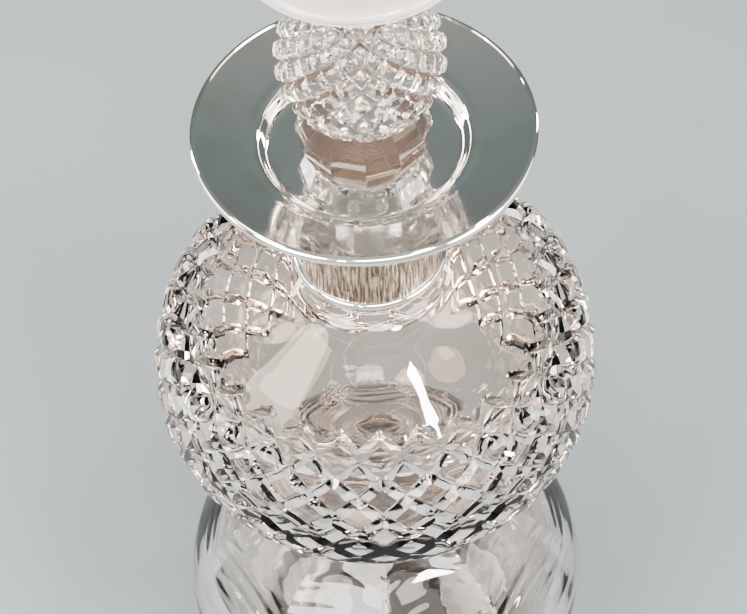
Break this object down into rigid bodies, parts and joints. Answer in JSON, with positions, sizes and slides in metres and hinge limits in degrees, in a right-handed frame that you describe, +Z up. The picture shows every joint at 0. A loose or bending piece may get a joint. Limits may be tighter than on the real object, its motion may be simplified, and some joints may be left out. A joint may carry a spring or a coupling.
{
  "type": "perfume bottle",
  "caption": "Tall cut-glass scent bottle: hobnail globe on a smooth fluted bulb, silver sleeve and dished drip collar, lift-out glass stopper with a flared crown.",
  "frame": {"origin": "centre of the base, in the plane that the bottle stands on", "axes": "+Z up along the bottle's axis of revolution; X and Y are horizontal"},
  "size_m": [0.072, 0.072, 0.1879],
  "materials": {
    "cut_glass": "clear, polished cuts",
    "smooth_glass": "clear, fire polished",
    "stopper_glass": "clear, polished, peg ground matt",
    "polished_silver": "polished silver with fine wear",
    "plaster": "set plaster of Paris"
  },
  "bodies": {
    "bottle": {"lower_bulb": "smooth_glass", "globe": "cut_glass", "neck_plaster": "plaster", "neck_sleeve": "polished_silver", "sleeve_bead": "polished_silver", "collar_dish": "polished_silver", "rim_wire": "polished_silver"},
    "stopper": {"stopper": "stopper_glass", "stopper_crown": "stopper_glass"}
  },
  "joints": [
    {"name": "stopper_lift", "type": "slide", "parent": "bottle", "child": "stopper", "axis": [0, 0, 1], "range_m": [0, 0.03]}
  ]
}
